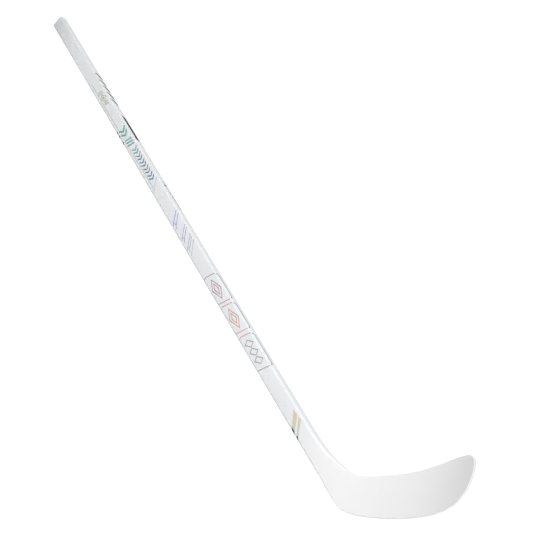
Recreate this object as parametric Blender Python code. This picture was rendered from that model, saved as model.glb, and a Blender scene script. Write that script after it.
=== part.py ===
"""One-piece composite ice hockey stick, left-handed, in the playing pose.

Frame, in metres: +Z is up from the ice, +X runs along the blade from heel to toe, and +Y points
away from the forehand face. The origin is on the ice, under the flat middle of the blade.
The shaft rises towards -X at the lie angle, and the blade curves towards -Y, the forehand side.
"""
import math

import bmesh
import bpy
from mathutils import Vector

# Shaft
SHAFT_WIDTH = 0.031          # across the wide faces, in the blade's plane
SHAFT_DEPTH = 0.020          # across the narrow faces, along Y
SHAFT_CORNER = 0.005         # radius of the four long corners
SHAFT_WALL = 0.0015
STICK_LENGTH = 1.575         # along the shaft's axis, from the heel to the butt end
LIE = math.radians(45.0)     # shaft above the ice
CORNER_STEPS = 4             # facets on each rounded corner
GAP = 0.0003                 # clearance between neighbouring pieces

# Joint between the tube and the blade's neck, as distances from the heel along the shaft
JOINT_AT = 0.245
TENON_LENGTH = 0.062
WRAP_HALF_LENGTH = 0.030
WRAP_THICKNESS = 0.0004
NECK_WALL = 0.0014

# Butt-end plug
CAP_HEIGHT = 0.008
CAP_ROUNDING = 0.0025
CAP_ROUNDING_STEPS = 3
SHANK_LENGTH = 0.045
SHANK_WALL = 0.002

# Blade
HEEL_X = -0.095              # where the shaft's axis meets the heel
HEEL_Z = 0.0165
CURVE_START_X = -0.105       # the face is flat up to here and then bends
CURVE_RADIUS = 0.60
FLAT_HALF_LENGTH = 0.02      # stretch of the bottom edge that lies flat on the ice
THIN_DEPTH = 0.0050          # thickness at the toe
RIM_WIDTH = 0.0045
RIM_ROUNDING = 0.0012
SKIN = 0.0010
BRIDGE_WIDTH = 0.003
FACE_STEPS = 6               # strips across a face skin
STATION_STEPS = 3            # sections between two outline stations

SHAFT_DIR = Vector((-math.cos(LIE), 0.0, math.sin(LIE)))
ACROSS_DIR = Vector((math.sin(LIE), 0.0, math.cos(LIE)))


def curve_offset(x):
    """How far the blade's middle surface has bent towards the forehand at x."""
    return max(0.0, x - CURVE_START_X) ** 2 / (2.0 * CURVE_RADIUS)


SHAFT_Y = curve_offset(0.0)  # the blade's bottom is at y = 0 over the origin
HEEL = Vector((HEEL_X, SHAFT_Y, HEEL_Z))


def middle_y(x):
    return SHAFT_Y - curve_offset(x)


def neck_station(distance, depth, flare=0.0):
    """Bottom edge, top edge (moved out by a flare) and thickness, at a distance along the shaft."""
    axis = HEEL + SHAFT_DIR * distance
    low = axis - ACROSS_DIR * (SHAFT_WIDTH / 2.0)
    high = axis + ACROSS_DIR * (SHAFT_WIDTH / 2.0 + flare)
    return (low.x, low.z, high.x, high.z, depth)


# Outline stations from the neck round the heel to the toe:
# bottom edge x and z, top edge x and z, thickness
STATIONS = [
    neck_station(0.200, 0.0200),
    neck_station(0.150, 0.0200),
    neck_station(0.131, 0.0200, 0.0010),
    (-0.1774, 0.0769, -0.1543, 0.1030, 0.0195),
    (-0.1562, 0.0557, -0.1308, 0.0872, 0.0170),
    (-0.1360, 0.0335, -0.1066, 0.0744, 0.0124),
    (-0.1138, 0.0136, -0.0802, 0.0673, 0.0088),
    (-0.0860, 0.0050, -0.0512, 0.0669, 0.0070),
    (-0.0460, 0.0014, -0.0180, 0.0680, 0.0063),
    (0.0000, 0.0000, 0.0140, 0.0699, 0.0058),
    (0.0450, 0.0011, 0.0510, 0.0740, 0.0056),
    (0.0850, 0.0045, 0.0885, 0.0802, 0.0054),
    (0.1180, 0.0112, 0.1200, 0.0861, 0.0053),
    (0.1430, 0.0213, 0.1440, 0.0888, 0.0052),
    (0.1592, 0.0356, 0.1580, 0.0882, 0.0051),
    (0.1682, 0.0516, 0.1668, 0.0838, THIN_DEPTH),
    (0.1720, 0.0653, 0.1716, 0.0762, THIN_DEPTH),
]
BLADE_START = 5              # station where the neck hands over to the blade
HOLLOW_END = BLADE_START - 0.4   # the neck is solid from this station on
NECK_END = BLADE_START - 0.015   # leaves the clearance between neck and blade


def station_at(place):
    """Smooth curve through the stations, at a fractional station number."""
    index = min(max(int(place), 0), len(STATIONS) - 2)
    share = place - index
    before = STATIONS[max(index - 1, 0)]
    here, after = STATIONS[index], STATIONS[index + 1]
    beyond = STATIONS[min(index + 2, len(STATIONS) - 1)]
    row = []
    for a, b, c, d in zip(before, here, after, beyond):
        slope_in, slope_out = (c - a) / 2.0, (d - b) / 2.0
        row.append(b + share * slope_in
                   + share ** 2 * (3.0 * (c - b) - 2.0 * slope_in - slope_out)
                   + share ** 3 * (2.0 * (b - c) + slope_in + slope_out))
    if abs(row[0]) <= FLAT_HALF_LENGTH:
        row[1] = 0.0
    return row


def corner_radius(depth):
    """Rounding of the section's corners, from the blade's thin edge to the shaft."""
    share = (depth - THIN_DEPTH) / (SHAFT_DEPTH - THIN_DEPTH)
    return RIM_ROUNDING + (SHAFT_CORNER - RIM_ROUNDING) * min(max(share, 0.0), 1.0)


# Sections and solids

def section(low, high, depth, inset=0.0):
    """Ring of points round a rounded rectangle between two edge points, in its own plane."""
    middle = (low + high) / 2.0
    across = (high - low).normalized()
    half_width = (high - low).length / 2.0 - inset
    half_depth = depth / 2.0 - inset
    radius = max(corner_radius(depth) - inset, 0.0004)
    ring = []
    for quarter, (side, face) in enumerate(((1, 1), (-1, 1), (-1, -1), (1, -1))):
        for step in range(CORNER_STEPS + 1):
            angle = math.radians(90.0) * (quarter + step / CORNER_STEPS)
            u = side * (half_width - radius) + radius * math.cos(angle)
            v = face * (half_depth - radius) + radius * math.sin(angle)
            ring.append(middle + across * u + Vector((0.0, v, 0.0)))
    return ring


def shaft_ring(distance, inset=0.0, depth=SHAFT_DEPTH):
    axis = HEEL + SHAFT_DIR * distance
    half = ACROSS_DIR * (SHAFT_WIDTH / 2.0)
    return section(axis - half, axis + half, depth, inset)


def neck_ring(place, inset=0.0):
    low_x, low_z, high_x, high_z, depth = station_at(place)
    low = Vector((low_x, SHAFT_Y, low_z))
    high = Vector((high_x, SHAFT_Y, high_z))
    return section(low, high, depth, inset)


def finish_mesh(name, bm, material):
    """Close the mesh's books: faces outward, smooth over rounded corners, one material."""
    bmesh.ops.recalc_face_normals(bm, faces=bm.faces)
    mesh = bpy.data.meshes.new(name)
    bm.to_mesh(mesh)
    bm.free()
    mesh.materials.append(material)
    mesh.shade_smooth()
    mesh.set_sharp_from_angle(angle=math.radians(35.0))
    piece = bpy.data.objects.new(name, mesh)
    bpy.context.scene.collection.objects.link(piece)
    return piece


def loft(name, rings, material, closed=False):
    """Skin a list of rings. Closed joins the last ring to the first, otherwise both ends are capped."""
    bm = bmesh.new()
    loops = [[bm.verts.new(point) for point in ring] for ring in rings]
    pairs = list(zip(loops, loops[1:]))
    if closed:
        pairs.append((loops[-1], loops[0]))
    else:
        bm.faces.new(loops[0])
        bm.faces.new(list(reversed(loops[-1])))
    for near, far in pairs:
        for index in range(len(near)):
            following = (index + 1) % len(near)
            bm.faces.new((near[index], far[index], far[following], near[following]))
    return finish_mesh(name, bm, material)


def slab(name, front_rows, back_rows, material):
    """Closed solid between two matching grids of points."""
    bm = bmesh.new()
    front = [[bm.verts.new(point) for point in row] for row in front_rows]
    back = [[bm.verts.new(point) for point in row] for row in back_rows]
    rows, columns = len(front), len(front[0])
    for grid in (front, back):
        for i in range(rows - 1):
            for j in range(columns - 1):
                bm.faces.new((grid[i][j], grid[i + 1][j], grid[i + 1][j + 1], grid[i][j + 1]))
    border = [(0, j) for j in range(columns)] + [(i, columns - 1) for i in range(1, rows)]
    border += [(rows - 1, j) for j in range(columns - 2, -1, -1)] + [(i, 0) for i in range(rows - 2, 0, -1)]
    for here, there in zip(border, border[1:] + border[:1]):
        bm.faces.new((front[here[0]][here[1]], front[there[0]][there[1]],
                      back[there[0]][there[1]], back[here[0]][here[1]]))
    return finish_mesh(name, bm, material)


# Shaft pieces

def make_shaft_tube(material):
    rebate = WRAP_THICKNESS + GAP
    start = JOINT_AT + GAP / 2.0
    wrap_top = JOINT_AT + WRAP_HALF_LENGTH + GAP
    end = STICK_LENGTH - CAP_HEIGHT
    outside = [shaft_ring(start, rebate), shaft_ring(wrap_top, rebate), shaft_ring(wrap_top), shaft_ring(end)]
    inside = [shaft_ring(end, SHAFT_WALL), shaft_ring(start, SHAFT_WALL)]
    return loft("shaft_tube", outside + inside, material, closed=True)


def make_butt_end_plug(material):
    """Cap as wide as the shaft, on a hollow shank that is open at its lower end."""
    shank = SHAFT_WALL + GAP
    seat = STICK_LENGTH - CAP_HEIGHT + GAP
    tip = seat - SHANK_LENGTH
    rings = [shaft_ring(seat, shank + SHANK_WALL), shaft_ring(tip, shank + SHANK_WALL),
             shaft_ring(tip, shank), shaft_ring(seat, shank), shaft_ring(seat)]
    for step in range(CAP_ROUNDING_STEPS + 1):
        angle = math.radians(90.0) * step / CAP_ROUNDING_STEPS
        rings.append(shaft_ring(STICK_LENGTH - CAP_ROUNDING * (1.0 - math.sin(angle)),
                                CAP_ROUNDING * (1.0 - math.cos(angle))))
    return loft("butt_end_plug", rings, material)


def make_joint_wrap(material):
    low, high = JOINT_AT - WRAP_HALF_LENGTH, JOINT_AT + WRAP_HALF_LENGTH
    rings = [shaft_ring(low), shaft_ring(high), shaft_ring(high, WRAP_THICKNESS), shaft_ring(low, WRAP_THICKNESS)]
    return loft("joint_wrap", rings, material, closed=True)


def neck_rings(first, last, inset=0.0):
    steps = int(round((last - first) * STATION_STEPS))
    return [neck_ring(first + (last - first) * step / steps, inset) for step in range(steps + 1)]


def make_hosel(material):
    """Tenon, shoulder and tapering neck, hollow and open at the tenon's top."""
    tenon = SHAFT_WALL + GAP
    rebate = WRAP_THICKNESS + GAP
    shoulder = JOINT_AT - GAP / 2.0
    wrap_low = JOINT_AT - WRAP_HALF_LENGTH - GAP
    tenon_top = JOINT_AT + TENON_LENGTH
    outside = [shaft_ring(tenon_top, tenon), shaft_ring(shoulder, tenon), shaft_ring(shoulder, rebate),
               shaft_ring(wrap_low, rebate), shaft_ring(wrap_low)] + neck_rings(0, NECK_END)
    inside = [shaft_ring(tenon_top, tenon + NECK_WALL), shaft_ring(wrap_low, tenon + NECK_WALL)]
    inside += neck_rings(0.5, HOLLOW_END, NECK_WALL)
    return loft("hosel", list(reversed(inside)) + outside, material)


def make_hosel_core(material):
    tenon = SHAFT_WALL + GAP + NECK_WALL + GAP
    wrap_low = JOINT_AT - WRAP_HALF_LENGTH
    rings = [shaft_ring(JOINT_AT + TENON_LENGTH - 0.002, tenon), shaft_ring(wrap_low, tenon)]
    rings += neck_rings(0.5, HOLLOW_END - 0.02, NECK_WALL + GAP)
    return loft("hosel_core", rings, material)


# Blade pieces

def blade_stations():
    """Bottom point, top point and thickness of every section from the neck to the toe."""
    steps = (len(STATIONS) - 1 - BLADE_START) * STATION_STEPS
    rows = [station_at(BLADE_START + step / STATION_STEPS) for step in range(steps + 1)]
    return [(Vector((r[0], 0.0, r[1])), Vector((r[2], 0.0, r[3])), r[4]) for r in rows]


def inward_edges(stations, width):
    """The two edges moved into the blade by a width, square to the outline."""
    lows, highs = [s[0] for s in stations], [s[1] for s in stations]
    outline = lows + list(reversed(highs))
    count = len(lows)
    moved = []
    for index, point in enumerate(outline):
        before, after = outline[max(index - 1, 0)], outline[min(index + 1, len(outline) - 1)]
        along = (after - before).normalized()
        inward = Vector((-along.z, 0.0, along.x))
        if index in (0, len(outline) - 1):
            partner = outline[len(outline) - 1 - index]
            aim = (partner - point).normalized()
            inward = aim / max(aim.dot(inward), 0.5)
        moved.append(point + inward * width)
    return moved[:count], list(reversed(moved[count:]))


def on_surface(point, offset):
    return Vector((point.x, middle_y(point.x) + offset, point.z))


def panel_rows(lows, highs, shares, offsets):
    """Grid of points across the blade: one row per section, at shares of its height."""
    rows = []
    for low, high, (start, end), offset in zip(lows, highs, shares, offsets):
        row = []
        for step in range(FACE_STEPS + 1):
            share = start + (end - start) * step / FACE_STEPS
            row.append(on_surface(low.lerp(high, share), offset))
        rows.append(row)
    return rows


def panel(name, stations, edges, shares, near, far, material):
    """Layer of the blade between two depths, each given as an offset from the middle surface."""
    lows, highs = edges
    front = panel_rows(lows, highs, shares, [near(depth) for _, _, depth in stations])
    back = panel_rows(lows, highs, shares, [far(depth) for _, _, depth in stations])
    return slab(name, front, back, material)


def make_blade_rim(stations, material):
    """Edging that runs from the neck along the bottom, round the toe and back along the top."""
    inner_lows, inner_highs = inward_edges(stations, RIM_WIDTH)
    outer = [s[0] for s in stations] + [s[1] for s in reversed(stations)]
    inner = inner_lows + list(reversed(inner_highs))
    depths = [s[2] for s in stations] + [s[2] for s in reversed(stations)]
    rings = []
    for outside, inside, depth in zip(outer, inner, depths):
        half, rounding = depth / 2.0, corner_radius(depth)
        inward = (inside - outside).normalized()
        soft = rounding * (1.0 - math.sqrt(0.5))
        profile = ((0.0, half - rounding), (soft, half - soft), (rounding, half), (None, half))
        ring = []
        for distance, height in profile:
            place = inside if distance is None else outside + inward * distance
            ring.append(on_surface(place, height))
        for distance, height in reversed(profile):
            place = inside if distance is None else outside + inward * distance
            ring.append(on_surface(place, -height))
        rings.append(ring)
    return loft("blade_rim", rings, material)


def make_blade_faces(stations, front_material, back_material):
    edges = inward_edges(stations, RIM_WIDTH + GAP)
    full = [(0.0, 1.0)] * len(stations)
    panel("blade_front_skin", stations, edges, full, lambda d: -d / 2.0, lambda d: -d / 2.0 + SKIN, front_material)
    panel("blade_back_skin", stations, edges, full, lambda d: d / 2.0 - SKIN, lambda d: d / 2.0, back_material)


def make_blade_cores(stations, foam, carbon):
    """Two foam cores with the bridge rib between them, inside the skins and the rim."""
    edges = inward_edges(stations, RIM_WIDTH + GAP)
    lower, bridge, upper = [], [], []
    for low, high in zip(*edges):
        height = (high - low).length
        rib = BRIDGE_WIDTH / 2.0 / height
        gap = GAP / height
        lower.append((0.0, 0.5 - rib - gap))
        bridge.append((0.5 - rib, 0.5 + rib))
        upper.append((0.5 + rib + gap, 1.0))

    def near(depth):
        return -depth / 2.0 + SKIN + GAP

    def far(depth):
        return depth / 2.0 - SKIN - GAP

    panel("blade_core_lower", stations, edges, lower, near, far, foam)
    panel("blade_bridge", stations, edges, bridge, near, far, carbon)
    panel("blade_core_upper", stations, edges, upper, near, far, foam)


def make_material(name, colour, roughness, metallic=0.0):
    material = bpy.data.materials.new(name)
    material.use_nodes = True
    shader = material.node_tree.nodes["Principled BSDF"]
    shader.inputs["Base Color"].default_value = (*colour, 1.0)
    shader.inputs["Roughness"].default_value = roughness
    shader.inputs["Metallic"].default_value = metallic
    return material


def clear_scene():
    for item in list(bpy.data.objects):
        bpy.data.objects.remove(item, do_unlink=True)


def main():
    clear_scene()
    gloss_white = make_material("gloss_white_paint", (0.86, 0.87, 0.89), 0.2)
    satin_white = make_material("satin_white_paint", (0.86, 0.86, 0.86), 0.45)
    face_white = make_material("face_white_paint", (0.84, 0.84, 0.84), 0.5)
    back_white = make_material("back_white_paint", (0.84, 0.84, 0.85), 0.5)
    plug_white = make_material("white_plug_plastic", (0.84, 0.85, 0.87), 0.35)
    neck_white = make_material("neck_white_paint", (0.86, 0.86, 0.87), 0.35)
    wrap_white = make_material("wrap_white_paint", (0.86, 0.87, 0.88), 0.3)
    foam = make_material("cream_foam", (0.80, 0.72, 0.50), 0.9)
    carbon = make_material("black_carbon", (0.02, 0.02, 0.022), 0.4)

    make_shaft_tube(gloss_white)
    make_butt_end_plug(plug_white)
    make_hosel(neck_white)
    make_hosel_core(foam)
    make_joint_wrap(wrap_white)
    stations = blade_stations()
    make_blade_rim(stations, satin_white)
    make_blade_faces(stations, face_white, back_white)
    make_blade_cores(stations, foam, carbon)


main()
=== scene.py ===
"""Looks of a white one-piece composite ice hockey stick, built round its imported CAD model.

Frame, in metres: +Z is up from the ice, +X runs along the blade from heel to toe, and +Y points
away from the forehand face. Distances along the shaft are counted from the heel.
"""

import math

import bmesh
import bpy
from mathutils import Matrix, Vector


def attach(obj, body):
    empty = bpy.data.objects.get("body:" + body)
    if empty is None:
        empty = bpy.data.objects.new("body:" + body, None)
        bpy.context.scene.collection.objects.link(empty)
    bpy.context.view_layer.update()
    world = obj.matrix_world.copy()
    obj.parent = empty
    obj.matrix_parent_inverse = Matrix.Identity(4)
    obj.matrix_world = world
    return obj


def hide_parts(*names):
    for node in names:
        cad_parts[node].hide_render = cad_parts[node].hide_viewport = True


BODY = "root"
MM = 0.001
QUARTER_TURN = math.radians(90.0)
FULL_TURN = math.radians(360.0)
WHITE = (1.0, 1.0, 1.0, 1.0)

# Shaft, as the CAD model has it
SHAFT_WIDTH = 0.031
SHAFT_DEPTH = 0.020
SHAFT_CORNER = 0.005
SHAFT_WALL = 0.0015
STICK_LENGTH = 1.575
LIE = math.radians(45.0)
JOINT_AT = 0.245
TENON_LENGTH = 0.062
WRAP_HALF_LENGTH = 0.030
WRAP_THICKNESS = 0.0004
NECK_WALL = 0.0014
GLUE = 0.0003                # clearance between bonded pieces
LEAST_ROUNDING = 0.0004      # radius that an inner corner never goes below
CAP_HEIGHT = 0.008
CAP_ROUNDING = 0.0025
CAP_CHAMFER = 0.0002
CAP_DISH = ((0.0006, 0.0), (0.0009, 0.00015), (0.0014, 0.00025), (0.0024, 0.0003))   # inset and drop
SHANK_LENGTH = 0.045
SHANK_WALL = 0.002

# Blade, as the CAD model has it
HEEL_X = -0.095
HEEL_Z = 0.0165
CURVE_START_X = -0.105
CURVE_RADIUS = 0.60
FLAT_HALF_LENGTH = 0.02
THIN_DEPTH = 0.0050
RIM_ROUNDING = 0.0012

# Fineness of the visible surfaces
CORNER_STEPS = 10            # facets on each rounded corner
STATION_STEPS = 8            # sections between two outline stations
FACE_STEPS = 28              # strips across the blade's face
RIM_WIDTH = 0.0045           # ring of the face beside the rounded edge
LEAST_COSINE = 0.5           # limit on how far the rim is stretched where it meets the neck
RUN_STEP = 0.02              # spacing of the shaft's rings

SHAFT_DIR = Vector((-math.cos(LIE), 0.0, math.sin(LIE)))
ACROSS_DIR = Vector((math.sin(LIE), 0.0, math.cos(LIE)))


def curve_offset(x):
    """How far the blade's middle surface has bent towards the forehand at x."""
    return max(0.0, x - CURVE_START_X) ** 2 / (2.0 * CURVE_RADIUS)


SHAFT_Y = curve_offset(0.0)
HEEL = Vector((HEEL_X, SHAFT_Y, HEEL_Z))


def neck_station(distance, depth, flare=0.0):
    """Bottom edge, top edge (moved out by a flare) and thickness, at a distance along the shaft."""
    axis = HEEL + SHAFT_DIR * distance
    low = axis - ACROSS_DIR * (SHAFT_WIDTH / 2.0)
    high = axis + ACROSS_DIR * (SHAFT_WIDTH / 2.0 + flare)
    return (low.x, low.z, high.x, high.z, depth)


# Outline stations from the neck round the heel to the toe:
# bottom edge x and z, top edge x and z, thickness
STATIONS = [
    neck_station(0.200, 0.0200),
    neck_station(0.150, 0.0200),
    neck_station(0.131, 0.0200, 0.0010),
    (-0.1774, 0.0769, -0.1543, 0.1030, 0.0195),
    (-0.1562, 0.0557, -0.1308, 0.0872, 0.0170),
    (-0.1360, 0.0335, -0.1066, 0.0744, 0.0124),
    (-0.1138, 0.0136, -0.0802, 0.0673, 0.0088),
    (-0.0860, 0.0050, -0.0512, 0.0669, 0.0070),
    (-0.0460, 0.0014, -0.0180, 0.0680, 0.0063),
    (0.0000, 0.0000, 0.0140, 0.0699, 0.0058),
    (0.0450, 0.0011, 0.0510, 0.0740, 0.0056),
    (0.0850, 0.0045, 0.0885, 0.0802, 0.0054),
    (0.1180, 0.0112, 0.1200, 0.0861, 0.0053),
    (0.1430, 0.0213, 0.1440, 0.0888, 0.0052),
    (0.1592, 0.0356, 0.1580, 0.0882, 0.0051),
    (0.1682, 0.0516, 0.1668, 0.0838, THIN_DEPTH),
    (0.1720, 0.0653, 0.1716, 0.0762, THIN_DEPTH),
]
BLADE_START = 5              # station where the neck hands over to the blade
HOLLOW_START = 0.5           # first station of the neck's hollow
HOLLOW_END = 4.6             # the neck is solid from this station on

# Camera: low down and in front of the toe
CAMERA_AT = Vector((1.3036, -1.6896, -0.3438))
CAMERA_AZIMUTH = math.radians(44.75)
CAMERA_ELEVATION = math.radians(-18.27)
CAMERA_ROLL = math.radians(11.34)
CAMERA_LENS = 94.45          # in mm, as is the sensor
CAMERA_SENSOR = 36.0
CAMERA_SHIFT_X = 0.0007
CAMERA_REACH = 100.0

# Stage
FLOOR_Z = -1.2
FLOOR_HALF = 40.0
FLOOR_SQUARES = 8
AMBIENT = 0.04               # light that the surroundings give from everywhere
SIDE_LIGHT = [
    # where more of it comes from, how much
    ((0.0, 0.0, 1.0), 0.80),
    ((0.0, 1.0, 0.0), 0.42),
    ((-1.0, 0.0, 0.0), 0.14),
]
LAMPS = [
    # name, line that it runs along, direction it stands in, centre that it lights,
    # distance, length and width in metres, spread in degrees, power in watts
    ("front", (1.0, 0.0, 0.0), (0.15, -0.95, 0.25), (-0.53, 0.0, 0.56), 1.6, 1.37, 1.7, 12.0, 2.50),
    ("key", (-1.3, 0.0, 1.0), (0.75, -0.65, 0.1), (-0.5, 0.0, 0.56), 2.2, 1.65, 0.8, 170.0, 16.6),
    ("under", (1.0, 0.0, 0.0), (0.55, 0.12, -0.82), (0.06, 0.0, 0.03), 0.9, 0.5, 0.4, 90.0, 1.0),
]
BACKDROP = 1.1               # a little over white, so that no grey is left at its corners

# Printed marks: ink film on the shaft's skin
FLAT_HALF = SHAFT_WIDTH / 2.0 - SHAFT_CORNER     # half of the flat of a wide face
SIDE_HALF = SHAFT_DEPTH / 2.0 - SHAFT_CORNER     # half of the flat of a narrow face
CORNER_ARC = QUARTER_TURN * SHAFT_CORNER         # way round one corner
INK_UNDER = -0.00006         # the film starts just under the lacquer's surface
INK_OVER = 0.00004
INK_GLOSS = 0.0              # the ink is duller than the lacquer round it
CORNER_CUTS = 6              # facets of a mark that bends round a corner
DISC_SIDES = 20
SHARPEST_MITRE = 0.4         # least cosine between a bend's mitre and the line's own side
SAME_PLACE = 1e-6            # points closer than this are one point


# Small helpers

def link(item):
    """Put a new object into the scene."""
    bpy.context.scene.collection.objects.link(item)
    return item


def mesh_object(name, bm, material, sharp_degrees=40.0):
    """Object from a bmesh: faces outward, smooth over its rounded places."""
    bmesh.ops.recalc_face_normals(bm, faces=bm.faces)
    mesh = bpy.data.meshes.new(name)
    bm.to_mesh(mesh)
    bm.free()
    mesh.materials.append(material)
    mesh.shade_smooth()
    mesh.set_sharp_from_angle(angle=math.radians(sharp_degrees))
    return link(bpy.data.objects.new(name, mesh))


# Geometry shared with the CAD model

def station_at(place):
    """Smooth curve through the stations, at a fractional station number."""
    index = min(max(int(place), 0), len(STATIONS) - 2)
    share = place - index
    before = STATIONS[max(index - 1, 0)]
    here, after = STATIONS[index], STATIONS[index + 1]
    beyond = STATIONS[min(index + 2, len(STATIONS) - 1)]
    row = []
    for a, b, c, d in zip(before, here, after, beyond):
        slope_in, slope_out = (c - a) / 2.0, (d - b) / 2.0
        row.append(b + share * slope_in
                   + share ** 2 * (3.0 * (c - b) - 2.0 * slope_in - slope_out)
                   + share ** 3 * (2.0 * (b - c) + slope_in + slope_out))
    if abs(row[0]) <= FLAT_HALF_LENGTH:
        row[1] = 0.0
    return row


def corner_radius(depth):
    """Rounding of the section's corners, from the blade's thin edge to the shaft."""
    share = (depth - THIN_DEPTH) / (SHAFT_DEPTH - THIN_DEPTH)
    return RIM_ROUNDING + (SHAFT_CORNER - RIM_ROUNDING) * min(max(share, 0.0), 1.0)


def section(low, high, depth, inset=0.0):
    """Ring of points round a rounded rectangle between two edge points, in its own plane."""
    middle = (low + high) / 2.0
    across = (high - low).normalized()
    half_width = (high - low).length / 2.0 - inset
    half_depth = depth / 2.0 - inset
    radius = max(corner_radius(depth) - inset, LEAST_ROUNDING)
    ring = []
    for quarter, (u_sign, v_sign) in enumerate(((1, 1), (-1, 1), (-1, -1), (1, -1))):
        for step in range(CORNER_STEPS + 1):
            angle = QUARTER_TURN * (quarter + step / CORNER_STEPS)
            u = u_sign * (half_width - radius) + radius * math.cos(angle)
            v = v_sign * (half_depth - radius) + radius * math.sin(angle)
            ring.append(middle + across * u + Vector((0.0, v, 0.0)))
    return ring


def shaft_ring(distance, inset=0.0):
    """Section of the shaft at a distance from the heel."""
    axis = HEEL + SHAFT_DIR * distance
    half = ACROSS_DIR * (SHAFT_WIDTH / 2.0)
    return section(axis - half, axis + half, SHAFT_DEPTH, inset)


def neck_ring(place, inset=0.0):
    """Section of the neck at a fractional station number."""
    low_x, low_z, high_x, high_z, depth = station_at(place)
    low = Vector((low_x, SHAFT_Y, low_z))
    high = Vector((high_x, SHAFT_Y, high_z))
    return section(low, high, depth, inset)


def blade_point(point, offset):
    """Outline point moved onto the curved blade, at an offset from its middle surface."""
    return Vector((point.x, SHAFT_Y - curve_offset(point.x) + offset, point.z))


def loft(name, rings, material, closed=False):
    """Skin a list of rings. Closed joins the last to the first, otherwise both ends are capped."""
    bm = bmesh.new()
    loops = [[bm.verts.new(point) for point in ring] for ring in rings]
    pairs = list(zip(loops, loops[1:]))
    if closed:
        pairs.append((loops[-1], loops[0]))
    else:
        bm.faces.new(loops[0])
        bm.faces.new(list(reversed(loops[-1])))
    for near, far in pairs:
        for index in range(len(near)):
            following = (index + 1) % len(near)
            bm.faces.new((near[index], far[index], far[following], near[following]))
    return mesh_object(name, bm, material)


# Stick pieces

def run_of_rings(start, end, inset=0.0):
    """Sections of the shaft from one distance to another."""
    count = max(int(math.ceil(abs(end - start) / RUN_STEP)), 1)
    return [shaft_ring(start + (end - start) * step / count, inset) for step in range(count + 1)]


def make_shaft(material):
    """Lacquered tube from the joint to the cap, hollow like the laminate under it."""
    end = STICK_LENGTH - CAP_HEIGHT
    wrap_top = JOINT_AT + WRAP_HALF_LENGTH
    rings = run_of_rings(JOINT_AT, wrap_top, WRAP_THICKNESS) + run_of_rings(wrap_top, end)
    rings += run_of_rings(end, JOINT_AT, SHAFT_WALL)
    return loft("shaft_lacquer", rings, material, closed=True)


def make_wrap(material):
    """Overwrap of the joint, let into tube and neck and painted with them."""
    low, high = JOINT_AT - WRAP_HALF_LENGTH, JOINT_AT + WRAP_HALF_LENGTH
    rings = run_of_rings(low, high) + run_of_rings(high, low, WRAP_THICKNESS)
    return loft("wrap_lacquer", rings, material, closed=True)


def make_butt_cap(material):
    """Cap with a rounded rim and a shallow dish, on the shank that is pushed into the tube."""
    seat = STICK_LENGTH - CAP_HEIGHT
    tip = seat - SHANK_LENGTH
    shank = SHAFT_WALL + GLUE
    rings = [shaft_ring(seat, shank + SHANK_WALL), shaft_ring(tip, shank + SHANK_WALL),
             shaft_ring(tip, shank), shaft_ring(seat, shank),
             shaft_ring(seat, CAP_CHAMFER), shaft_ring(seat + CAP_CHAMFER)]
    for step in range(CORNER_STEPS + 1):
        angle = QUARTER_TURN * step / CORNER_STEPS
        rings.append(shaft_ring(STICK_LENGTH - CAP_ROUNDING * (1.0 - math.sin(angle)),
                                CAP_ROUNDING * (1.0 - math.cos(angle))))
    for inset, drop in CAP_DISH:
        rings.append(shaft_ring(STICK_LENGTH - drop, CAP_ROUNDING + inset))
    return loft("butt_cap", rings, material)


def neck_rings(first, last, inset=0.0):
    """Sections of the neck from one station to another."""
    steps = int(round((last - first) * STATION_STEPS))
    return [neck_ring(first + (last - first) * step / steps, inset) for step in range(steps + 1)]


def make_neck(material):
    """Tenon, shoulder and painted neck down to where the blade's face begins, hollow inside."""
    tenon = SHAFT_WALL + GLUE
    wrap_low = JOINT_AT - WRAP_HALF_LENGTH
    tenon_top = JOINT_AT + TENON_LENGTH
    outside = [shaft_ring(tenon_top, tenon), shaft_ring(JOINT_AT, tenon),
               shaft_ring(JOINT_AT, WRAP_THICKNESS), shaft_ring(wrap_low, WRAP_THICKNESS),
               shaft_ring(wrap_low)]
    outside += neck_rings(0, BLADE_START)
    inside = [shaft_ring(tenon_top, tenon + NECK_WALL), shaft_ring(wrap_low, tenon + NECK_WALL)]
    inside += neck_rings(HOLLOW_START, HOLLOW_END, NECK_WALL)
    return loft("neck_lacquer", list(reversed(inside)) + outside, material)


def blade_stations():
    """Bottom point, top point and thickness of every section from the neck to the toe."""
    steps = (len(STATIONS) - 1 - BLADE_START) * STATION_STEPS
    rows = [station_at(BLADE_START + step / STATION_STEPS) for step in range(steps + 1)]
    return [(Vector((r[0], 0.0, r[1])), Vector((r[2], 0.0, r[3])), r[4]) for r in rows]


def blade_outline(stations):
    """Points and thicknesses along the bottom edge, up the toe and back along the top edge."""
    low, high, depth = stations[-1]
    toe = [(low.lerp(high, step / FACE_STEPS), depth) for step in range(1, FACE_STEPS)]
    bottom = [(s[0], s[2]) for s in stations]
    top = [(s[1], s[2]) for s in reversed(stations)]
    return bottom + toe + top


def inward_directions(points):
    """Direction into the blade at each outline point, square to the outline."""
    last = len(points) - 1
    directions = []
    for index, point in enumerate(points):
        before, after = points[max(index - 2, 0)], points[min(index + 2, last)]
        along = (after - before).normalized()
        inward = Vector((-along.z, 0.0, along.x))
        if index in (0, last):
            across = (points[last - index] - point).normalized()
            inward = across / max(across.dot(inward), LEAST_COSINE)
        directions.append(inward)
    return directions


def edge_profile(depth):
    """Half of the rounded edge: way in from the outline and height over the middle surface."""
    half = depth / 2.0
    rounding = corner_radius(depth)
    profile = []
    for step in range(CORNER_STEPS + 1):
        angle = QUARTER_TURN * step / CORNER_STEPS
        profile.append((rounding * (1.0 - math.cos(angle)), half - rounding * (1.0 - math.sin(angle))))
    profile.append((RIM_WIDTH, half))
    return profile


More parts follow.
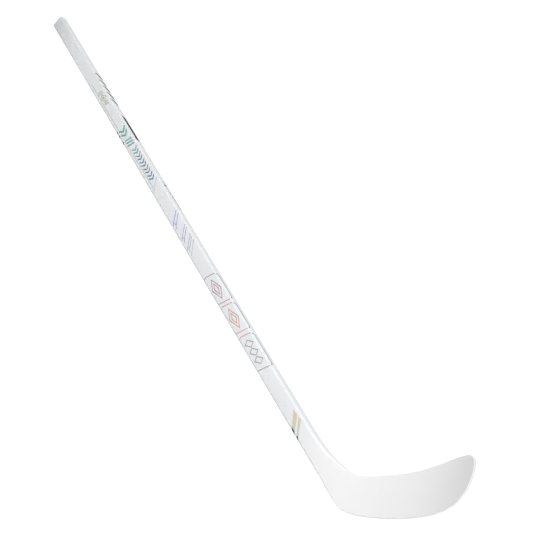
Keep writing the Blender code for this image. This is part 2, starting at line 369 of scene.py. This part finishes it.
def face_rows(bm, stations, loops, rim_end):
    """Grid of one face: a row of points for each station, from the bottom rim to the top rim."""
    last_loop = len(loops) - 1
    last_row = len(stations) - 1
    rows = []
    for row, (_, _, depth) in enumerate(stations):
        low = loops[row][rim_end]
        high = loops[last_loop - row][rim_end]
        if row == last_row:
            inner = [loops[last_row + step][rim_end] for step in range(1, FACE_STEPS)]
        else:
            offset = depth / 2.0 if rim_end == 0 else -depth / 2.0
            inner = [bm.verts.new(blade_point(low.co.lerp(high.co, step / FACE_STEPS), offset))
                     for step in range(1, FACE_STEPS)]
        rows.append([low] + inner + [high])
    return rows


def make_blade(material):
    """Blade shell: rounded edge swept round the outline, with a gridded face on each side."""
    stations = blade_stations()
    outline = blade_outline(stations)
    points = [point for point, _ in outline]
    bm = bmesh.new()
    loops = []
    for (point, depth), inward in zip(outline, inward_directions(points)):
        profile = edge_profile(depth)
        backhand = [bm.verts.new(blade_point(point + inward * d, h)) for d, h in profile]
        forehand = [bm.verts.new(blade_point(point + inward * d, -h)) for d, h in profile]
        loops.append(list(reversed(backhand)) + forehand)
    for near, far in zip(loops, loops[1:]):
        for index in range(len(near) - 1):
            bm.faces.new((near[index], far[index], far[index + 1], near[index + 1]))
    neck_ends = []
    for rim_end in (0, -1):
        rows = face_rows(bm, stations, loops, rim_end)
        for near, far in zip(rows, rows[1:]):
            for column in range(FACE_STEPS):
                bm.faces.new((near[column], near[column + 1], far[column + 1], far[column]))
        neck_ends.append(rows[0])
    backhand_end, forehand_end = neck_ends
    bm.faces.new(loops[0] + forehand_end[1:-1] + list(reversed(loops[-1]))
                 + list(reversed(backhand_end[1:-1])))
    return mesh_object("blade_shell", bm, material)


# Printed marks. A place on the shaft is (distance from the heel, way round from the forehand
# face's middle), in millimetres; the way round grows towards the upper narrow side.

def front(distance, across):
    """Place on the forehand side, given how far across the shaft it lies."""
    past = abs(across) * MM - FLAT_HALF
    if past <= 0.0:
        return (distance, across)
    way = FLAT_HALF + SHAFT_CORNER * math.asin(min(past / SHAFT_CORNER, 1.0))
    return (distance, math.copysign(way / MM, across))


def side(distance, height):
    """Place on the upper narrow side, given its way from the middle of that side."""
    return (distance, (FLAT_HALF + CORNER_ARC + SIDE_HALF) / MM + height)


def wrapped(distance, way, lift):
    """Point on the shaft's skin, or lifted off it."""
    turned = abs(way)
    if turned <= FLAT_HALF:
        u, v = turned, -SHAFT_DEPTH / 2.0 - lift
    elif turned <= FLAT_HALF + CORNER_ARC:
        angle = (turned - FLAT_HALF) / SHAFT_CORNER
        u = FLAT_HALF + (SHAFT_CORNER + lift) * math.sin(angle)
        v = -SIDE_HALF - (SHAFT_CORNER + lift) * math.cos(angle)
    else:
        u, v = SHAFT_WIDTH / 2.0 + lift, turned - FLAT_HALF - CORNER_ARC - SIDE_HALF
    return HEEL + SHAFT_DIR * distance + ACROSS_DIR * math.copysign(u, way) + Vector((0.0, v, 0.0))


def stroke(points, width):
    """Patches along a bent line, mitred at its bends. A line that ends where it starts is closed."""
    line = [Vector(point) for point in points]
    closed = (line[0] - line[-1]).length < SAME_PLACE
    if closed:
        line.pop()
    count = len(line)
    normals = []
    for index in range(count if closed else count - 1):
        along = (line[(index + 1) % count] - line[index]).normalized()
        normals.append(Vector((-along.y, along.x)))
    edges = []
    for index, point in enumerate(line):
        after = normals[min(index, len(normals) - 1)]
        before = normals[index - 1] if closed or index > 0 else after
        middle = (before + after).normalized()
        reach = middle * (width / 2.0 / max(middle.dot(after), SHARPEST_MITRE))
        edges.append((point + reach, point - reach))
    patches = []
    for index in range(len(normals)):
        (a, b), (c, d) = edges[index], edges[(index + 1) % count]
        patches.append((a, b, d, c))
    return patches


def disc(distance, way, radius):
    """Round patch."""
    turns = [FULL_TURN * step / DISC_SIDES for step in range(DISC_SIDES)]
    return [(distance + radius * math.cos(t), way + radius * math.sin(t)) for t in turns]


def flat_sheet(patches):
    """Patches laid flat, cut along the lines where the skin bends."""
    flat = bmesh.new()
    for patch in patches:
        flat.faces.new([flat.verts.new((point[0] * MM, point[1] * MM, 0.0)) for point in patch])
    bmesh.ops.remove_doubles(flat, verts=flat.verts, dist=SAME_PLACE)
    for sign in (-1.0, 1.0):
        for step in range(CORNER_CUTS + 1):
            way = sign * (FLAT_HALF + CORNER_ARC * step / CORNER_CUTS)
            everything = flat.verts[:] + flat.edges[:] + flat.faces[:]
            bmesh.ops.bisect_plane(flat, geom=everything, plane_co=(0.0, way, 0.0),
                                   plane_no=(0.0, 1.0, 0.0), dist=SAME_PLACE / 10.0)
    return flat


def make_print(name, patches, ink):
    """Thin closed film for each patch, bent round the shaft's corners."""
    flat = flat_sheet(patches)
    film = bmesh.new()
    over = {v: film.verts.new(wrapped(v.co.x, v.co.y, INK_OVER)) for v in flat.verts}
    under = {v: film.verts.new(wrapped(v.co.x, v.co.y, INK_UNDER)) for v in flat.verts}
    for face in flat.faces:
        film.faces.new([over[v] for v in face.verts])
        film.faces.new([under[v] for v in reversed(face.verts)])
    for edge in flat.edges:
        if edge.is_boundary:
            a, b = edge.verts
            film.faces.new((over[a], under[a], under[b], over[b]))
    flat.free()
    return mesh_object(name, film, ink)


def emblem_marks():
    """Small emblem without letters: a diamond between slanted bars."""
    diamond = [(1235.0, 1.5), (1224.0, 8.0), (1213.0, 1.5), (1224.0, -5.0), (1235.0, 1.5)]
    marks = stroke([front(*point) for point in diamond], width=1.7)
    marks.append([front(1229.0, 1.5), front(1224.0, 4.5), front(1219.0, 1.5), front(1224.0, -1.5)])
    for centre in (1247.0, 1240.0, 1208.0, 1201.0):
        marks += stroke([front(centre + 2.5, -4.4), front(centre - 2.5, 7.4)], width=2.6)
    return marks


def bold_marks():
    """Two bold chevrons and three bars, full width."""
    marks = []
    for tip in (1088.0, 1074.0):
        marks += stroke([front(tip + 12.0, 10.8), front(tip, 0.8), front(tip + 11.0, -8.0)], width=4.8)
    for centre in (1058.0, 1048.5, 1039.0):
        marks += stroke([front(centre + 4.0, -8.2), front(centre - 4.0, 9.8)], width=4.2)
    return marks


def small_marks():
    """Five pairs of chevrons between the thin line and the shaft's lit edge."""
    first_tip = 1015.0
    pitch = 24.0
    gap = 11.0
    marks = []
    for pair in range(5):
        upper_tip = first_tip - pitch * pair
        for tip in (upper_tip, upper_tip - gap):
            marks += stroke([front(tip + 8.0, 10.6), front(tip, 3.4), front(tip + 8.0, -4.0)], width=2.9)
    return marks


def corner_marks():
    """Dark ends of the bold marks, where they run on round the lower edge."""
    marks = []
    for start in (1107.0, 1092.0, 1068.0):
        marks.append([front(start, -11.2), front(start - 8.0, -11.2), front(start - 13.0, -15.2),
                      front(start - 5.0, -15.2)])
    return marks


def slanted_pairs():
    """Pairs of thin slanted lines with a link near their lower ends, and one line alone."""
    marks = []
    for upper, spread in ((789.0, 12.0), (741.0, 9.5), (710.0, 7.5)):
        lower = upper - spread
        marks += stroke([front(upper, 12.6), front(upper - 20.0, -5.7), front(upper - 27.5, -10.2)],
                        width=1.9)
        marks += stroke([front(lower, 12.2), front(lower - 18.0, -3.2), front(lower - 27.5, -8.2)],
                        width=1.7)
        marks += stroke([front(upper - 21.8, -5.4), front(lower - 18.6, -4.8)], width=1.3)
    marks += stroke([front(692.0, 12.4), front(664.0, -9.8)], width=1.6)
    return marks


PANELS = ((584.7, 508.0), (498.0, 424.0), (411.7, 323.0))   # upper and lower end of each, in mm
PANEL_SLOPE = 0.45           # rise of the panels' end lines along the shaft for each mm across
PANEL_EDGE = 12.7            # place across the shaft where the panels' distances hold


def slant(distance, across):
    """Place on a line that crosses the shaft at the slant of the outlined panels."""
    return front(distance + PANEL_SLOPE * (PANEL_EDGE - across), across)


def lozenge(upper, lower, reach):
    """Closed rhombus, slanted like the panels."""
    middle = (upper + lower) / 2.0
    tip = slant(upper, 0.0)
    return [tip, slant(middle, reach), slant(lower, 0.0), slant(middle, -reach), tip]


def panel_lines():
    """Outlined panels without letters: end lines, and lozenges between them."""
    marks = []
    for upper, lower in PANELS:
        marks += stroke([slant(upper, 12.9), slant(upper, -7.8), slant(upper - 5.0, -12.6)], width=1.7)
        marks += stroke([slant(lower, 12.9), slant(lower, -12.6)], width=1.7)
    for upper, lower in PANELS[:2]:
        marks += stroke(lozenge(upper - 12.0, lower + 10.0, 9.4), width=1.6)
        marks += stroke(lozenge(upper - 24.0, lower + 22.0, 4.4), width=1.5)
    first_tip = PANELS[2][0] - 13.0
    pitch = 22.0
    length = 19.0
    for step in range(3):
        tip = first_tip - pitch * step
        marks += stroke(lozenge(tip, tip - length, 8.4), width=1.5)
    return marks


def panel_sides():
    """The panels' long lines on the upper narrow side."""
    marks = []
    for upper, lower in PANELS:
        marks += stroke([side(upper - 2.0, -8.5), side(upper - 8.0, -4.4), side(lower + 5.0, -4.0),
                         side(lower, -7.6)], width=1.9)
    return marks


def panel_corners():
    """The panels' long lines on the lower edge."""
    marks = []
    for upper, lower in PANELS:
        line = [slant(upper - 7.0, -13.6), slant(upper - 12.0, -14.8), slant(lower + 3.0, -14.8)]
        marks += stroke(line, width=1.6)
    return marks


SIDE_BARS = 5
SIDE_BAR_PITCH = 27.0


def side_bars():
    """Row of dark slanted bars on the upper narrow side."""
    marks = []
    for step in range(SIDE_BARS):
        start = 1313.0 - SIDE_BAR_PITCH * step
        marks.append([side(start, -6.4), side(start - 14.0, 5.4),
                      side(start - 25.0, 5.4), side(start - 9.0, -6.4)])
    return marks


def side_fringe():
    """Tan tips of the dark bars, on the lit edge."""
    marks = []
    for step in range(SIDE_BARS):
        start = 1314.0 - SIDE_BAR_PITCH * step
        marks.append([side(start, -9.4), side(start, -6.8),
                      side(start - 8.5, -6.8), side(start - 6.0, -9.4)])
    return marks


def side_dashes():
    """Row of dashes and a dot on the upper narrow side, which drifts a little across that side."""
    row_start = 890.0
    drift = 0.04
    dashes = ((890.0, 9.0), (866.0, 8.0), (855.0, 12.0), (839.0, 8.0), (828.0, 10.0),
              (815.0, 12.0), (800.0, 7.0))
    marks = [disc(*side(874.0, -1.5), 3.4)]
    for start, length in dashes:
        height = -1.0 + (row_start - start) * drift
        marks += stroke([side(start, height), side(start - length, height + 0.3)], width=1.7)
    return marks


def tan_bars():
    """Two slanted bars just above the neck."""
    wide = [front(216.0, 8.0), front(201.0, 9.0), front(180.0, -10.4), front(191.0, -10.4)]
    narrow = [front(196.0, 8.5), front(188.2, 9.9), front(165.5, -10.4), front(171.5, -10.4)]
    return [wide, narrow]


def tan_ends():
    """Dark ends of the two bars, round the lower edge."""
    wide = [front(191.0, -10.4), front(180.0, -10.4), front(174.0, -15.2), front(185.0, -15.2)]
    narrow = [front(171.5, -10.4), front(165.5, -10.4), front(159.5, -15.2), front(165.5, -15.2)]
    return [wide, narrow]


def olive_bar():
    """Long dark bar on the upper narrow side."""
    return [[side(1137.0, -6.0), side(1130.0, 1.6), side(1038.0, 3.0), side(1044.0, -5.4)]]


# Materials

def linear(red, green, blue):
    """Colour given on the 0 to 255 scale, as the shader wants it."""
    values = []
    for part in (red, green, blue):
        share = part / 255.0
        values.append(share / 12.92 if share <= 0.04045 else ((share + 0.055) / 1.055) ** 2.4)
    return (*values, 1.0)


def new_material(name):
    """Material with its node tree and its one shader."""
    material = bpy.data.materials.new(name)
    material.use_nodes = True
    tree = material.node_tree
    return material, tree, tree.nodes["Principled BSDF"]


def node(tree, kind, inputs=None, **settings):
    """Shader node with its settings and the fixed values of its inputs."""
    made = tree.nodes.new(kind)
    for key, value in settings.items():
        setattr(made, key, value)
    for key, value in (inputs or {}).items():
        made.inputs[key].default_value = value
    return made


def feed(tree, socket, value):
    """Give a socket its value, which is another socket or a fixed one."""
    if isinstance(value, bpy.types.NodeSocket):
        tree.links.new(value, socket)
    else:
        socket.default_value = value


def place_in_object(tree):
    """Where the shaded point lies in its own object, in metres."""
    return node(tree, "ShaderNodeTexCoord").outputs["Object"]


def noise(tree, place, scale, detail=2.0):
    """Value of a noise texture, with features of about 1 / scale metres."""
    texture = node(tree, "ShaderNodeTexNoise", {"Scale": scale, "Detail": detail})
    tree.links.new(place, texture.inputs["Vector"])
    return texture.outputs["Fac"]


def distance_along(tree, place):
    """Distance from the heel along the shaft, in metres."""
    dot = node(tree, "ShaderNodeVectorMath", operation="DOT_PRODUCT")
    dot.inputs[1].default_value = SHAFT_DIR
    tree.links.new(place, dot.inputs[0])
    return calc(tree, "SUBTRACT", dot.outputs["Value"], HEEL.dot(SHAFT_DIR))


def calc(tree, operation, first, second):
    """Result of one operation on two values, each a socket or a fixed number."""
    made = node(tree, "ShaderNodeMath", operation=operation)
    for socket, value in zip(made.inputs, (first, second)):
        feed(tree, socket, value)
    return made.outputs["Value"]


def remap(tree, value, from_low, from_high, to_low=0.0, to_high=1.0, smooth=False):
    """Value moved from one range to another and held inside it."""
    made = node(tree, "ShaderNodeMapRange", {"From Min": from_low, "From Max": from_high,
                                             "To Min": to_low, "To Max": to_high})
    if smooth:
        made.interpolation_type = "SMOOTHSTEP"
    tree.links.new(value, made.inputs["Value"])
    return made.outputs["Result"]


def blend(tree, share, first, second):
    """Colour between two colours, each a socket or a fixed colour."""
    made = node(tree, "ShaderNodeMix", data_type="RGBA")
    tree.links.new(share, made.inputs["Factor"])
    for key, value in (("A", first), ("B", second)):
        feed(tree, next(item for item in made.inputs if item.name == key and item.type == "RGBA"), value)
    return next(item for item in made.outputs if item.type == "RGBA")


def bump(tree, shader, height, distance):
    """Relief of the given depth in metres."""
    made = node(tree, "ShaderNodeBump", {"Distance": distance, "Strength": 1.0})
    tree.links.new(height, made.inputs["Height"])
    tree.links.new(made.outputs["Normal"], shader.inputs["Normal"])


WAVE_UNIT = math.pi / 10.0   # scale of a wave texture whose bands are 1 m apart
WAVE_WANDER = 0.4            # how far the threads stray from a straight line


def weave(tree, place, period):
    """Basket of the laminate's threads, which run along and across the shaft."""
    turned = node(tree, "ShaderNodeMapping", {"Rotation": (0.0, LIE, 0.0)})
    tree.links.new(place, turned.inputs["Vector"])
    threads = []
    for direction in ("X", "Z"):
        wave = node(tree, "ShaderNodeTexWave",
                    {"Scale": WAVE_UNIT / period, "Distortion": WAVE_WANDER},
                    bands_direction=direction)
        tree.links.new(turned.outputs["Vector"], wave.inputs["Vector"])
        threads.append(wave.outputs["Fac"])
    return calc(tree, "MULTIPLY", *threads)


# Paint. Scales are those of its noises, shares say how much of an effect shows.
MATTE_FROM = 0.190           # distance from the heel where the gloss starts to fade
MATTE_TO = 0.115
GLOSS_WHITE = linear(233, 235, 237)
MATTE_WHITE = linear(241, 240, 240)
GLOSS_ROUGHNESS = (0.26, 0.32)
MATTE_ROUGHNESS = (0.46, 0.56)
NOISE_SPAN = (0.3, 0.7)      # most values of a noise lie in this range
CLOUD_SCALE = 7.0
CLOUD_SHARE = 0.035
CLOUD_COLOUR = linear(190, 194, 198)
SPECK_SCALE = 1500.0
SPECK_SPAN = (0.55, 0.8)
SPECK_SHARE = 0.06
SPECK_COLOUR = linear(205, 206, 208)
SCUFF_SCALE = 260.0
SCUFF_SPAN = (0.5, 0.75)
SCUFF_SHARE = 0.12
SCUFF_HEIGHT = 0.004         # the ice rubs only this much of the blade
SCUFF_COLOUR = linear(150, 150, 152)
SMEAR_SCALE = 45.0
PEEL_SCALE = 240.0
PEEL_SHARE = 0.5
GRAIN_SCALE = 1800.0
GRAIN_SHARE = 0.5
THREAD_PERIOD = 0.0032       # spacing of the laminate's threads in metres
THREAD_SHARE = 0.12
PAINT_RELIEF = 0.00004

# Ink. Paint shows through its small gaps.
INK_GAP_SCALE = 1100.0
INK_GAP_SPAN = (0.4, 0.75)
INK_GAP_SHARE = 0.07
INK_SMEAR_SCALE = 60.0
INK_ROUGHNESS = (0.17, 0.25)
INK_RELIEF = 0.00002

# Foam, bare carbon and the floor's paper
FOAM_CELL_SCALE = 900.0
FOAM_CELL_EDGE = 0.7         # distance from a cell's centre where its wall is darkest
FOAM_DUST_SCALE = 90.0
FOAM_ROUGHNESS = (0.82, 0.95)
FOAM_RELIEF = 0.0004
CARBON_PERIOD = 0.002
CARBON_ROUGHNESS = (0.28, 0.5)
CARBON_RELIEF = 0.0001
FLOOR_CLOUD_SCALE = 0.8
FLOOR_TOOTH_SCALE = 220.0
FLOOR_ROUGHNESS = (0.7, 0.85)
FLOOR_RELIEF = 0.0003


def scuffs_near_ice(tree, place):
    """Share of rubbed paint, on the lowest few millimetres only."""
    split = node(tree, "ShaderNodeSeparateXYZ")
    tree.links.new(place, split.inputs["Vector"])
    low = remap(tree, split.outputs["Z"], SCUFF_HEIGHT, 0.0)
    scuffs = remap(tree, noise(tree, place, SCUFF_SCALE, 4.0), *SCUFF_SPAN, 0.0, SCUFF_SHARE)
    return calc(tree, "MULTIPLY", low, scuffs)


def make_paint(name, scuffed=False):
    """White paint: clear and glossy on the shaft, fading to a fine matte grain on the blade."""
    material, tree, shader = new_material(name)
    place = place_in_object(tree)
    matte = remap(tree, distance_along(tree, place), MATTE_FROM, MATTE_TO, smooth=True)
    colour = blend(tree, matte, GLOSS_WHITE, MATTE_WHITE)
    clouds = remap(tree, noise(tree, place, CLOUD_SCALE, 3.0), *NOISE_SPAN, 0.0, CLOUD_SHARE)
    colour = blend(tree, clouds, colour, CLOUD_COLOUR)
    specks = remap(tree, noise(tree, place, SPECK_SCALE, 1.0), *SPECK_SPAN, 0.0, SPECK_SHARE)
    colour = blend(tree, specks, colour, SPECK_COLOUR)
    if scuffed:
        colour = blend(tree, scuffs_near_ice(tree, place), colour, SCUFF_COLOUR)
    tree.links.new(colour, shader.inputs["Base Color"])
    smear = noise(tree, place, SMEAR_SCALE, 3.0)
    rough = node(tree, "ShaderNodeMix", data_type="FLOAT")
    tree.links.new(matte, rough.inputs[0])
    tree.links.new(remap(tree, smear, *NOISE_SPAN, *GLOSS_ROUGHNESS), rough.inputs[2])
    tree.links.new(remap(tree, smear, *NOISE_SPAN, *MATTE_ROUGHNESS), rough.inputs[3])
    tree.links.new(rough.outputs[0], shader.inputs["Roughness"])
    peel = calc(tree, "MULTIPLY", noise(tree, place, PEEL_SCALE, 1.0), PEEL_SHARE)
    grain = calc(tree, "MULTIPLY", noise(tree, place, GRAIN_SCALE), GRAIN_SHARE)
    grain = calc(tree, "MULTIPLY", grain, matte)
    threads = calc(tree, "MULTIPLY", weave(tree, place, THREAD_PERIOD), THREAD_SHARE)
    height = calc(tree, "ADD", calc(tree, "ADD", peel, grain), threads)
    bump(tree, shader, height, PAINT_RELIEF)
    return material


def make_ink(name, stops):
    """Printed colour that changes along the shaft: stops are (distance in mm, colour)."""
    material, tree, shader = new_material(name)
    place = place_in_object(tree)
    start, end = stops[0][0], stops[-1][0]
    share = remap(tree, distance_along(tree, place), start * MM, end * MM)
    ramp = node(tree, "ShaderNodeValToRGB")
    elements = ramp.color_ramp.elements
    elements[0].color = linear(*stops[0][1])
    elements[1].color = linear(*stops[-1][1])
    for distance, colour in stops[1:-1]:
        elements.new((distance - start) / (end - start)).color = linear(*colour)
    tree.links.new(share, ramp.inputs["Fac"])
    gaps = remap(tree, noise(tree, place, INK_GAP_SCALE), *INK_GAP_SPAN, 0.0, INK_GAP_SHARE)
    tree.links.new(blend(tree, gaps, ramp.outputs["Color"], GLOSS_WHITE), shader.inputs["Base Color"])
    smear = remap(tree, noise(tree, place, INK_SMEAR_SCALE), *NOISE_SPAN, *INK_ROUGHNESS)
    tree.links.new(smear, shader.inputs["Roughness"])
    shader.inputs["Specular IOR Level"].default_value = INK_GLOSS
    bump(tree, shader, noise(tree, place, PEEL_SCALE, 1.0), INK_RELIEF)
    return material


def make_foam():
    """Cream closed-cell foam: small cells, dry surface."""
    material, tree, shader = new_material("cream_foam")
    place = place_in_object(tree)
    cells = node(tree, "ShaderNodeTexVoronoi", {"Scale": FOAM_CELL_SCALE})
    tree.links.new(place, cells.inputs["Vector"])
    shade = remap(tree, cells.outputs["Distance"], 0.0, FOAM_CELL_EDGE)
    colour = blend(tree, shade, linear(232, 220, 184), linear(198, 182, 138))
    tree.links.new(colour, shader.inputs["Base Color"])
    dryness = remap(tree, noise(tree, place, FOAM_DUST_SCALE), *NOISE_SPAN, *FOAM_ROUGHNESS)
    tree.links.new(dryness, shader.inputs["Roughness"])
    bump(tree, shader, cells.outputs["Distance"], FOAM_RELIEF)
    return material


def make_carbon():
    """Bare carbon laminate: basket of dark threads under a thin resin."""
    material, tree, shader = new_material("carbon_laminate")
    place = place_in_object(tree)
    threads = weave(tree, place, CARBON_PERIOD)
    colour = blend(tree, threads, linear(24, 24, 26), linear(58, 59, 62))
    tree.links.new(colour, shader.inputs["Base Color"])
    tree.links.new(remap(tree, threads, 0.0, 1.0, *CARBON_ROUGHNESS), shader.inputs["Roughness"])
    bump(tree, shader, threads, CARBON_RELIEF)
    return material


def make_floor_material():
    """Matt grey-white paper."""
    material, tree, shader = new_material("floor_paper")
    place = place_in_object(tree)
    clouds = noise(tree, place, FLOOR_CLOUD_SCALE, 3.0)
    colour = blend(tree, clouds, linear(214, 215, 216), linear(222, 223, 224))
    tree.links.new(colour, shader.inputs["Base Color"])
    tree.links.new(remap(tree, clouds, *NOISE_SPAN, *FLOOR_ROUGHNESS), shader.inputs["Roughness"])
    bump(tree, shader, noise(tree, place, FLOOR_TOOTH_SCALE, 3.0), FLOOR_RELIEF)
    return material


# Stage, light and camera

def make_floor():
    """Wide floor, far enough below the stick to stay out of the camera's view."""
    bm = bmesh.new()
    bmesh.ops.create_grid(bm, x_segments=FLOOR_SQUARES, y_segments=FLOOR_SQUARES, size=FLOOR_HALF)
    bmesh.ops.translate(bm, verts=bm.verts, vec=(0.0, 0.0, FLOOR_Z))
    floor = mesh_object("studio_floor", bm, make_floor_material())


def make_lamp(name, line, towards, centre, distance, length, width, spread, power):
    """Soft box with a grid. Its long side runs along the line."""
    lamp = bpy.data.lights.new(name, "AREA")
    lamp.shape = "RECTANGLE"
    lamp.size = length
    lamp.size_y = width
    lamp.spread = math.radians(spread)
    lamp.energy = power
    holder = link(bpy.data.objects.new(name, lamp))
    back = Vector(towards).normalized()
    line = Vector(line)
    along = (line - back * line.dot(back)).normalized()
    turn = Matrix((along, back.cross(along), back)).transposed()
    holder.matrix_world = Matrix.Translation(Vector(centre) + back * distance) @ turn.to_4x4()
    holder.visible_camera = False


def make_world():
    """White backdrop. The light that it gives is stronger from some sides than from others."""
    world = bpy.data.worlds.new("studio")
    bpy.context.scene.world = world
    world.use_nodes = True
    tree = world.node_tree
    output = tree.nodes["World Output"]
    ambient = tree.nodes["Background"]
    direction = node(tree, "ShaderNodeTexCoord").outputs["Generated"]
    strength = AMBIENT
    for comes_from, amount in SIDE_LIGHT:
        facing = node(tree, "ShaderNodeVectorMath", operation="DOT_PRODUCT")
        facing.inputs[1].default_value = comes_from
        tree.links.new(direction, facing.inputs[0])
        share = calc(tree, "MAXIMUM", facing.outputs["Value"], 0.0)
        strength = calc(tree, "ADD", calc(tree, "MULTIPLY", share, amount), strength)
    tree.links.new(strength, ambient.inputs["Strength"])
    ambient.inputs["Color"].default_value = WHITE
    backdrop = node(tree, "ShaderNodeBackground", {"Color": WHITE, "Strength": BACKDROP})
    path = node(tree, "ShaderNodeLightPath")
    mix = node(tree, "ShaderNodeMixShader")
    tree.links.new(path.outputs["Is Camera Ray"], mix.inputs["Fac"])
    tree.links.new(ambient.outputs["Background"], mix.inputs[1])
    tree.links.new(backdrop.outputs["Background"], mix.inputs[2])
    tree.links.new(mix.outputs["Shader"], output.inputs["Surface"])


def make_camera():
    """Camera aimed by azimuth and elevation, then rolled about its own line of sight."""
    camera = bpy.data.cameras.new("camera")
    camera.lens = CAMERA_LENS
    camera.sensor_width = CAMERA_SENSOR
    camera.shift_x = CAMERA_SHIFT_X
    camera.clip_end = CAMERA_REACH
    holder = link(bpy.data.objects.new("camera", camera))
    forward = Vector((-math.sin(CAMERA_AZIMUTH) * math.cos(CAMERA_ELEVATION),
                      math.cos(CAMERA_AZIMUTH) * math.cos(CAMERA_ELEVATION),
                      -math.sin(CAMERA_ELEVATION)))
    level = Vector((math.cos(CAMERA_AZIMUTH), math.sin(CAMERA_AZIMUTH), 0.0))
    upright = level.cross(forward)
    right = level * math.cos(CAMERA_ROLL) + upright * math.sin(CAMERA_ROLL)
    up = upright * math.cos(CAMERA_ROLL) - level * math.sin(CAMERA_ROLL)
    turn = Matrix((right, up, -forward)).transposed()
    holder.matrix_world = Matrix.Translation(CAMERA_AT) @ turn.to_4x4()
    bpy.context.scene.camera = holder


# The scene

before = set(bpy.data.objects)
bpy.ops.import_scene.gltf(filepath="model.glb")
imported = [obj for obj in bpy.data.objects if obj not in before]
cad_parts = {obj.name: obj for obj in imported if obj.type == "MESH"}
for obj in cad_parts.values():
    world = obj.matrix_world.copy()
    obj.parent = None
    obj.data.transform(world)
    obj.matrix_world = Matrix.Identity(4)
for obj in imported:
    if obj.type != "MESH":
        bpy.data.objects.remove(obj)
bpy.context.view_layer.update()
bpy.context.scene.view_settings.view_transform = "Standard"

paint = make_paint("white_paint")
blade_paint = make_paint("white_blade_paint", scuffed=True)
shaft = make_shaft(paint)
cap = make_butt_cap(paint)
wrap = make_wrap(paint)
neck = make_neck(paint)
blade = make_blade(blade_paint)
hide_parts("shaft_tube")
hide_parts("butt_end_plug")
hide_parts("joint_wrap")
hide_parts("hosel")
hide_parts("blade_rim", "blade_front_skin", "blade_back_skin")

khaki_teal = make_ink("khaki_to_teal_ink", [(1290, (172, 176, 148)), (1100, (172, 180, 158)),
                                            (1050, (168, 184, 182)), (870, (170, 184, 194))])
green_teal = make_ink("green_to_slate_ink", [(1105, (120, 178, 154)), (1040, (106, 170, 160)),
                                             (1005, (98, 142, 152)), (905, (98, 114, 138))])
blue = make_ink("pale_blue_ink", [(910, (158, 180, 198)), (860, (178, 196, 212))])
lilac = make_ink("lilac_ink", [(792, (140, 150, 198)), (735, (158, 162, 202)),
                               (700, (180, 176, 198)), (660, (200, 196, 206))])
rose = make_ink("plum_to_taupe_ink", [(600, (148, 122, 142)), (540, (172, 120, 130)),
                                      (490, (200, 134, 128)), (425, (214, 146, 128)),
                                      (405, (146, 130, 130)), (320, (156, 152, 150))])
slate = make_ink("slate_ink", [(1105, (66, 78, 90)), (590, (112, 118, 122)), (320, (122, 128, 132)),
                               (200, (96, 106, 116)), (150, (92, 102, 112))])
navy = make_ink("navy_ink", [(1315, (56, 62, 80)), (1170, (74, 80, 94))])
tan = make_ink("tan_ink", [(1310, (204, 182, 130)), (1180, (206, 196, 156)), (215, (214, 203, 184)),
                           (165, (206, 200, 176))])
olive = make_ink("olive_ink", [(1136, (62, 60, 50)), (1040, (70, 68, 58))])

thin_line = stroke([front(1286, -6.4), front(1106, -7.2)], width=0.9)
thin_line += stroke([front(1028, -7.6), front(986, -6.9), front(888, -5.6)], width=1.0)
notch = stroke([front(903, 13.6), front(886, -4.3), front(873.5, -11.0)], width=1.5)
prints = [
    make_print("emblem_print", emblem_marks(), khaki_teal),
    make_print("thin_line_print", thin_line, khaki_teal),
    make_print("bold_marks_print", bold_marks(), green_teal),
    make_print("small_marks_print", small_marks(), green_teal),
    make_print("corner_marks_print", corner_marks(), slate),
    make_print("notch_line_print", notch, blue),
    make_print("slanted_pairs_print", slanted_pairs(), lilac),
    make_print("panel_lines_print", panel_lines(), rose),
    make_print("panel_sides_print", panel_sides(), slate),
    make_print("panel_corners_print", panel_corners(), slate),
    make_print("side_bars_print", side_bars(), navy),
    make_print("side_fringe_print", side_fringe(), tan),
    make_print("side_dashes_print", side_dashes(), navy),
    make_print("tan_bars_print", tan_bars(), tan),
    make_print("tan_ends_print", tan_ends(), slate),
    make_print("olive_bar_print", olive_bar(), olive),
]

for piece, slot in ((shaft, "shaft_gloss"), (cap, "plug"), (wrap, "wrap"), (neck, "neck"),
                    (blade, "blade_front")):
    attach(piece, BODY)
for piece in prints:
    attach(piece, BODY)

# The inner pieces keep their CAD meshes
foam = make_foam()
carbon = make_carbon()
for name, inner in (("hosel_core", foam), ("blade_core_upper", foam), ("blade_core_lower", foam),
                    ("blade_bridge", carbon)):
    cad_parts[name].material_slots[0].material = inner

make_floor()
make_world()
for lamp in LAMPS:
    make_lamp(*lamp)
make_camera()
